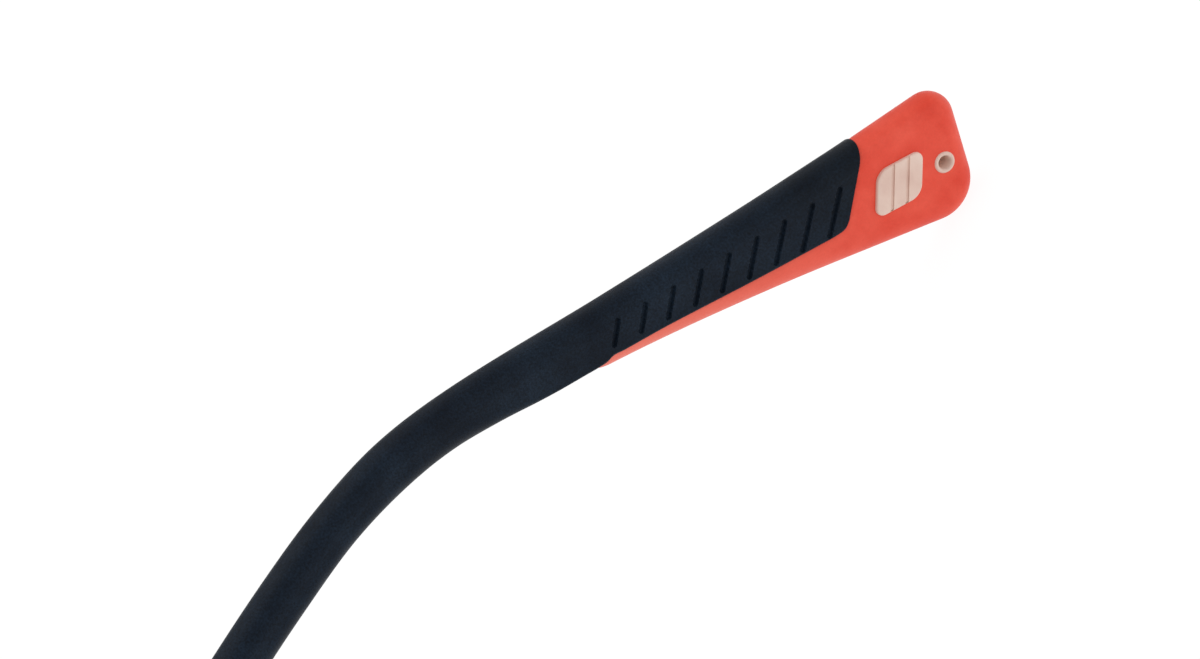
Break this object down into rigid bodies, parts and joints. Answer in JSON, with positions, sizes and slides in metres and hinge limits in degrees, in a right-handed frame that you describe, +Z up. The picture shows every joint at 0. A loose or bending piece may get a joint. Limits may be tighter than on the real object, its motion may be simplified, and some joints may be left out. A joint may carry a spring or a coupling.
{
  "type": "dental loupes",
  "caption": "Flip-up magnifying dental loupes on a wrap sport frame, with folding temples, bendable rubber-covered tips and adjustable pupil distance.",
  "frame": {"origin": "centre of the footprint, on the desk plane that the temple tips and objective bezels stand on", "axes": "+X towards the wearer's left, +Y backward along the temples, +Z up"},
  "size_m": [0.1456, 0.2074, 0.0486],
  "materials": {
    "navy_plastic": "satin dark navy nylon",
    "navy_rubber": "fine-grained matt dark navy rubber",
    "orange_rubber": "satin orange rubber",
    "cream_plastic": "matt cream",
    "black_anodised": "bead-blasted black anodised",
    "orange_anodised": "satin orange anodised",
    "black_plastic": "fine-textured black",
    "screw_steel": "brushed",
    "polished_steel": "ground",
    "nose_silicone": "clear matt silicone",
    "bumper_rubber": "matt black",
    "clear_lens": "clear",
    "coated_glass": "anti-reflection coated"
  },
  "bodies": {
    "frame": {"front_frame": "navy_plastic", "bridge_mount": "black_anodised", "bridge_screws": "screw_steel", "wrap_lens_left": "clear_lens", "hinge_screw_left": "screw_steel", "nose_pad_arm_left": "polished_steel", "wrap_lens_right": "clear_lens", "hinge_screw_right": "screw_steel", "nose_pad_arm_right": "polished_steel"},
    "slider": {"height_slider": "black_anodised", "flip_axle": "screw_steel", "flip_washers": "black_plastic"},
    "height_lock": {"height_knob": "orange_anodised"},
    "flip": {"flip_arm": "black_anodised", "lever_grip": "orange_rubber", "guide_rod": "polished_steel", "end_plate_left": "black_anodised", "end_plate_right": "black_anodised"},
    "spindle": {"pd_spindle": "polished_steel", "pd_knob_left": "orange_anodised", "pd_knob_right": "orange_anodised"},
    "carrier_l": {"carrier_left": "black_plastic", "convergence_pin_left": "screw_steel"},
    "carrier_r": {"carrier_right": "black_plastic", "convergence_pin_right": "screw_steel"},
    "barrel_l": {"clamp_ring_left": "black_plastic", "barrel_body_left": "black_anodised", "eyepiece_ring_left": "black_plastic", "eye_bumper_left": "bumper_rubber", "eyepiece_lens_left": "coated_glass", "objective_bezel_left": "orange_anodised", "objective_lens_left": "coated_glass"},
    "barrel_r": {"clamp_ring_right": "black_plastic", "barrel_body_right": "black_anodised", "eyepiece_ring_right": "black_plastic", "eye_bumper_right": "bumper_rubber", "eyepiece_lens_right": "coated_glass", "objective_bezel_right": "orange_anodised", "objective_lens_right": "coated_glass"},
    "pad_l": {"nose_pad_left": "nose_silicone"},
    "pad_r": {"nose_pad_right": "nose_silicone"},
    "temple_l": {"temple_arm_left": "navy_plastic", "arm_inlay_left": "orange_rubber", "temple_core_left": "polished_steel", "temple_sleeve_left": "navy_rubber", "tip_core_left": "orange_rubber", "tip_badge_left": "cream_plastic", "tip_eyelet_left": "cream_plastic"},
    "temple_r": {"temple_arm_right": "navy_plastic", "arm_inlay_right": "orange_rubber", "temple_core_right": "polished_steel", "temple_sleeve_right": "navy_rubber", "tip_core_right": "orange_rubber", "tip_badge_right": "cream_plastic", "tip_eyelet_right": "cream_plastic"}
  },
  "joints": [
    {"name": "temple_fold_left", "type": "hinge", "parent": "frame", "child": "temple_l", "pos_m": [0.07, -0.03297, 0.0363], "axis": [0, 0, 1], "range_deg": [0, 84]},
    {"name": "temple_fold_right", "type": "hinge", "parent": "frame", "child": "temple_r", "pos_m": [-0.07, -0.03297, 0.0363], "axis": [0, 0, -1], "range_deg": [0, 76]},
    {"name": "height_slide", "type": "slide", "parent": "frame", "child": "slider", "axis": [0, 0, 1], "range_m": [-0.003, 0.003]},
    {"name": "height_knob_turn", "type": "hinge", "parent": "frame", "child": "height_lock", "pos_m": [0, -0.06926, 0.0386], "axis": [1, 0, 0], "range_deg": [0, 270]},
    {"name": "flip_up", "type": "hinge", "parent": "slider", "child": "flip", "pos_m": [0, -0.07556, 0.0456], "axis": [-1, 0, 0], "range_deg": [0, 75]},
    {"name": "pd_slide_left", "type": "slide", "parent": "flip", "child": "carrier_l", "axis": [1, 0, 0], "range_m": [-0.004, 0.004]},
    {"name": "pd_slide_right", "type": "slide", "parent": "flip", "child": "carrier_r", "axis": [-1, 0, 0], "range_m": [-0.004, 0.004]},
    {"name": "pd_spindle_turn", "type": "hinge", "parent": "flip", "child": "spindle", "pos_m": [0, -0.08037, 0.0376], "axis": [1, 0, 0], "range_deg": [-1440, 1440]},
    {"name": "convergence_left", "type": "hinge", "parent": "carrier_l", "child": "barrel_l", "pos_m": [0.03145, -0.08037, 0.034], "axis": [0, 0, 1], "range_deg": [-5, 5]},
    {"name": "convergence_right", "type": "hinge", "parent": "carrier_r", "child": "barrel_r", "pos_m": [-0.03145, -0.08037, 0.034], "axis": [0, 0, -1], "range_deg": [-5, 5]},
    {"name": "nose_pad_rock_left", "type": "hinge", "parent": "frame", "child": "pad_l", "pos_m": [0.01252, -0.05216, 0.02098], "axis": [-0.3743, -0.2717, 0.8866], "range_deg": [-8, 8]},
    {"name": "nose_pad_rock_right", "type": "hinge", "parent": "frame", "child": "pad_r", "pos_m": [-0.01252, -0.05216, 0.02098], "axis": [-0.3743, 0.2717, -0.8866], "range_deg": [-8, 8]}
  ],
  "couplings": [
    {"joint": "pd_slide_right", "follows": "pd_slide_left", "ratio": 1},
    {"joint": "pd_spindle_turn", "follows": "pd_slide_left", "rad_per_m": 6283}
  ]
}
